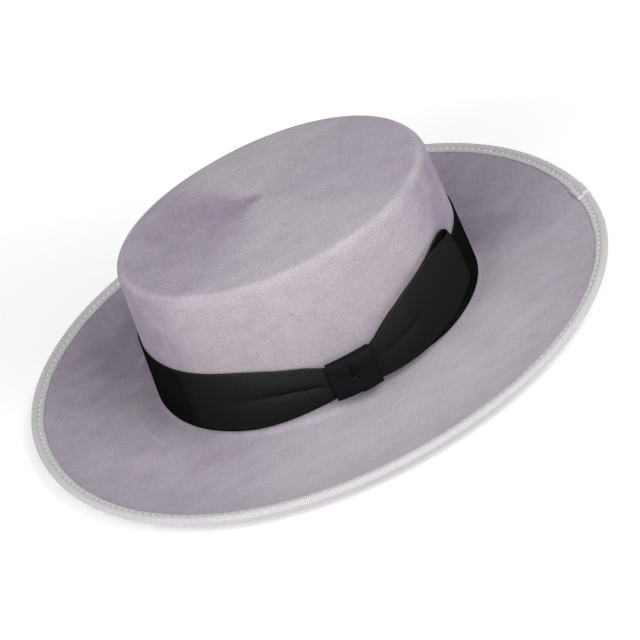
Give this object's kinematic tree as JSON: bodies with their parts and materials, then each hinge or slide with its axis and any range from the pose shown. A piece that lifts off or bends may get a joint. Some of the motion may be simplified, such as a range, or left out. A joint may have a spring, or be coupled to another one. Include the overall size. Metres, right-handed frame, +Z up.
{
  "type": "gaucho hat",
  "caption": "Felt hat with a flat-topped oval crown, a wide flat brim curled up at its ribbon-bound edge, and a ribbon hatband with a flat side bow.",
  "frame": {"origin": "middle of the hat's outline on the surface it rests on, which is the flat underside of the brim", "axes": "+Z up through the crown, -Y to the front of the hat, +X to the wearer's left, where the bow is"},
  "size_m": [0.3374, 0.3704, 0.094],
  "materials": {
    "felt": "pale lilac-grey fur felt with a short brushed nap, matte",
    "binding_ribbon": "white grosgrain ribbon, fine cross ribs, one row of machine stitches, soft matte",
    "band_ribbon": "black grosgrain ribbon, cross ribs, low sheen",
    "knot_ribbon": "black grosgrain ribbon with finer ribs, slightly bluer, low sheen"
  },
  "bodies": {
    "root": {"felt_body": "felt", "brim_binding": "binding_ribbon", "hatband": "band_ribbon", "bow_loop": "band_ribbon", "bow_knot": "knot_ribbon"}
  },
  "joints": []
}
